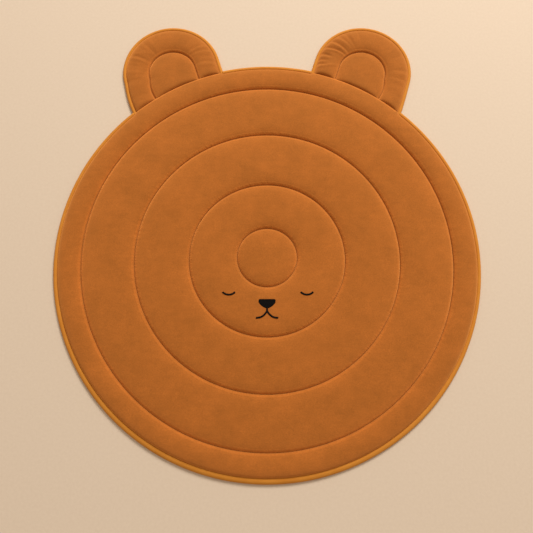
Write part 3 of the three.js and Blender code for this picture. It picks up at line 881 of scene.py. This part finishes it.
def caramel_velvet():
    """Cotton velvet: a short dense pile, brushed one way. It scatters light softly, glows at its edges, is
    finely mottled where the pile leans differently, carries painted light and shade beside the stitches and
    seams, and is gathered beside the stitches."""
    material, tree = new_material("caramel_velvet")
    place = add_node(tree, "ShaderNodeTexCoord").outputs["Object"]
    # Painted light and shade per point, multiplied into the colour
    painted_light_and_shade_fac = add_node(tree, "ShaderNodeAttribute", {"attribute_name": "painted_light_and_shade"}).outputs["Fac"]
    cloud = add_node(tree, "ShaderNodeTexNoise", {"Scale": 1 / (45 * MM), "Detail": 5.0, "Roughness": 0.75},
                     {"Vector": place})
    spread = {"From Min": 0.3, "From Max": 0.7}
    patches = add_node(tree, "ShaderNodeMapRange", spread, {"Value": cloud.outputs["Fac"]})
    colours = {"data_type": "RGBA", "A": linear("#99571f"), "B": linear("#ab6125")}
    tone = add_node(tree, "ShaderNodeMix", colours, {"Factor": patches.outputs["Result"]})
    brushed = add_node(tree, "ShaderNodeMapping", {"Scale": (1 / (40 * MM), 1 / (8 * MM), 1 / (8 * MM))},
                       {"Vector": place})
    streak = add_node(tree, "ShaderNodeTexNoise", {"Scale": 1.0, "Detail": 3.0},
                      {"Vector": brushed.outputs["Vector"]})
    # The pile's tufts are about 0.5 mm; they are drawn at 2 mm so that they show
    pile = add_node(tree, "ShaderNodeTexNoise", {"Scale": 1 / (2 * MM), "Detail": 2.0, "Roughness": 0.7},
                    {"Vector": place})
    streaks = add_node(tree, "ShaderNodeMapRange", {**spread, "To Min": 0.965, "To Max": 1.035},
                       {"Value": streak.outputs["Fac"]})
    tufts = add_node(tree, "ShaderNodeMapRange", {**spread, "To Min": 0.835, "To Max": 1.165},
                     {"Value": pile.outputs["Fac"]})
    product = {"data_type": "RGBA", "blend_type": "MULTIPLY", "Factor": 1.0}
    for shade in (streaks.outputs["Result"], tufts.outputs["Result"], painted_light_and_shade_fac):
        tone = add_node(tree, "ShaderNodeMix", product, {"A": tone.outputs["Result"], "B": shade})
    # Gathers run out from the middle of the head, about 8 mm apart, and fade with the painted light beside
    # the stitches
    outward = add_node(tree, "ShaderNodeVectorMath", {"operation": "NORMALIZE"}, {0: place})
    gather = add_node(tree, "ShaderNodeTexNoise", {"Scale": 50.0, "Detail": 1.0},
                      {"Vector": outward.outputs["Vector"]})
    painted_slope_light = add_node(tree, "ShaderNodeMapRange", {"From Min": 1.0, "From Max": 1 + SLOPE_PAINTED_LIGHT},
                      {"Value": painted_light_and_shade_fac})
    drawn = add_node(tree, "ShaderNodeMath", {"operation": "MULTIPLY"},
                     {0: gather.outputs["Fac"], 1: painted_slope_light.outputs["Result"]})
    ripples = add_node(tree, "ShaderNodeBump", {"Strength": 1.0, "Distance": 1.2 * MM},
                       {"Height": drawn.outputs["Value"]})
    bump = add_node(tree, "ShaderNodeBump", {"Strength": 0.25, "Distance": 0.6 * MM},
                    {"Height": pile.outputs["Fac"], "Normal": ripples.outputs["Normal"]})
    settings = {
        "Roughness": 0.95,
        "IOR": 1.45,
        "Specular IOR Level": 0.15,
        "Sheen Weight": 1.0,
        "Sheen Roughness": 0.6,
        "Sheen Tint": linear("#ffae5d"),
    }
    finish_material(tree, settings, tone, bump)
    return material


def mustard_twill():
    """Woven cotton cut on the bias and wrapped round a cord, so its yarns run slantwise. Matt, with a faint
    sheen where the yarns turn."""
    material, tree = new_material("mustard_twill")
    wrap = add_node(tree, "ShaderNodeTexCoord").outputs["UV"]
    # The yarns are about 0.6 mm apart; they are drawn at 1.8 mm so that they show
    turned = add_node(tree, "ShaderNodeMapping", {"Rotation": (0, 0, math.radians(40))}, {"Vector": wrap})
    weave = {"Scale": math.pi / 10 / (1.8 * MM), "Distortion": 0.6, "Detail": 1.0}
    yarns = add_node(tree, "ShaderNodeTexWave", weave, {"Vector": turned.outputs["Vector"]})
    place = add_node(tree, "ShaderNodeTexCoord").outputs["Object"]
    cloud = add_node(tree, "ShaderNodeTexNoise", {"Scale": 1 / (25 * MM), "Detail": 3.0}, {"Vector": place})
    colours = {"data_type": "RGBA", "A": linear("#c67b25"), "B": linear("#d89137")}
    tone = add_node(tree, "ShaderNodeMix", colours, {"Factor": cloud.outputs["Fac"]})
    shade = add_node(tree, "ShaderNodeMapRange", {"To Min": 0.8, "To Max": 1.06},
                     {"Value": yarns.outputs["Fac"]})
    product = {"data_type": "RGBA", "blend_type": "MULTIPLY", "Factor": 1.0}
    woven = add_node(tree, "ShaderNodeMix", product,
                     {"A": tone.outputs["Result"], "B": shade.outputs["Result"]})
    bump = add_node(tree, "ShaderNodeBump", {"Strength": 0.5, "Distance": 0.3 * MM},
                    {"Height": yarns.outputs["Fac"]})
    settings = {
        "Roughness": 0.8,
        "IOR": 1.5,
        "Specular IOR Level": 0.2,
        "Sheen Weight": 0.05,
        "Sheen Roughness": 0.4,
    }
    finish_material(tree, settings, woven, bump)
    return material


def twisted_thread(name, dark, light, roughness):
    """Polyester sewing thread: smooth filaments with a soft gleam and a fine twist."""
    material, tree = new_material(name)
    place = add_node(tree, "ShaderNodeTexCoord").outputs["Object"]
    fibre = add_node(tree, "ShaderNodeTexNoise", {"Scale": 1 / (0.8 * MM), "Detail": 2.0},
                     {"Vector": place})
    colours = {"data_type": "RGBA", "A": linear(dark), "B": linear(light)}
    tone = add_node(tree, "ShaderNodeMix", colours, {"Factor": fibre.outputs["Fac"]})
    bump = add_node(tree, "ShaderNodeBump", {"Strength": 0.3, "Distance": 0.1 * MM},
                    {"Height": fibre.outputs["Fac"]})
    settings = {"Roughness": roughness, "IOR": 1.5, "Specular IOR Level": 0.12}
    finish_material(tree, settings, tone, bump)
    return material


def pale_floor():
    """Plain matt studio floor with a fine grain, so that the rug's soft shadow shows."""
    material, tree = new_material("pale_floor")
    place = add_node(tree, "ShaderNodeTexCoord").outputs["Object"]
    grain = add_node(tree, "ShaderNodeTexNoise", {"Scale": 1 / (6 * MM), "Detail": 3.0}, {"Vector": place})
    colours = {"data_type": "RGBA", "A": linear("#d0beaa"), "B": linear("#dac9b6")}
    tone = add_node(tree, "ShaderNodeMix", colours, {"Factor": grain.outputs["Fac"]})
    finish_material(tree, {"Roughness": 0.9}, tone)
    return material


# Stage


def make_camera():
    data = bpy.data.cameras.new("camera")
    data.angle = 2 * math.atan(HALF_PICTURE / FOCAL_LENGTH)
    camera = bpy.data.objects.new("camera", data)
    camera.location = [value * MM for value in CAMERA_PLACE]
    camera.rotation_euler = (CAMERA_TILT, 0, 0)
    bpy.context.collection.objects.link(camera)
    bpy.context.scene.camera = camera


def make_light():
    data = bpy.data.lights.new("key", "AREA")
    data.size = KEY_SIZE
    data.energy = KEY_POWER
    data.color = KEY_COLOUR
    key = bpy.data.objects.new("key", data)
    key.location = KEY_PLACE
    aim = -np.array(KEY_PLACE)
    key.rotation_euler = (math.atan2(math.hypot(aim[0], aim[1]), -aim[2]), 0, math.atan2(-aim[0], aim[1]))
    bpy.context.collection.objects.link(key)


def make_room():
    """Light from all round, brighter and cooler on the key's side, dimmer and warmer on the other."""
    world = bpy.data.worlds.new("studio")
    bpy.context.scene.world = world
    world.use_nodes = True
    tree = world.node_tree
    background = tree.nodes["Background"]
    look = add_node(tree, "ShaderNodeTexCoord").outputs["Generated"]
    level = np.array([KEY_PLACE[0], KEY_PLACE[1], 0]) / math.hypot(KEY_PLACE[0], KEY_PLACE[1])
    facing = add_node(tree, "ShaderNodeVectorMath", {"operation": "DOT_PRODUCT", 1: level}, {0: look})
    share = add_node(tree, "ShaderNodeMapRange", {"From Min": -1.0, "From Max": 1.0},
                     {"Value": facing.outputs["Value"]})
    colours = {"data_type": "RGBA", "A": linear("#ffe2bc"), "B": linear("#fffaf4")}
    colour = add_node(tree, "ShaderNodeMix", colours, {"Factor": share.outputs["Result"]})
    strengths = {"To Min": SKY_STRENGTH * (1 - SKY_SWING), "To Max": SKY_STRENGTH * (1 + SKY_SWING)}
    strength = add_node(tree, "ShaderNodeMapRange", strengths, {"Value": share.outputs["Result"]})
    tree.links.new(colour.outputs["Result"], background.inputs["Color"])
    tree.links.new(strength.outputs["Result"], background.inputs["Strength"])
    bpy.context.scene.view_settings.view_transform = "Standard"


def make_floor():
    deselect_all()
    bpy.ops.mesh.primitive_plane_add(size=FLOOR_SIZE, location=(0, 0, 0))
    floor = bpy.context.object
    floor.name = "floor"
    floor.data.materials.append(pale_floor())


# The rug


def dress(piece, material, node=None):
    """Gives a piece its material and its place on the rug, and hides the CAD part that it stands for."""
    piece.data.materials.clear()
    piece.data.materials.append(material)
    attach(piece, ROOT)
    if node:
        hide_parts(node)


def make_rug():
    velvet = caramel_velvet()
    twill = mustard_twill()
    black = twisted_thread("black_embroidery_thread", "#030202", "#090706", 0.7)
    caramel = twisted_thread("caramel_quilting_thread", "#7a431a", "#8c5122", 0.8)
    head = make_head()
    dress(head, velvet, "head_pad")
    for name in EAR_SIDES:
        ear = make_ear(name)
        dress(ear, velvet, f"ear_pad_{name}")
        dress(make_eye(name), black, f"eye_{name}")
    for node, piece in make_piping().items():
        dress(piece, twill, node)
    dress(make_nose(), black, "nose")
    dress(make_mouth(), black, "mouth")
    dress(make_quilting(), caramel)


make_camera()
make_light()
make_room()
make_floor()
make_rug()
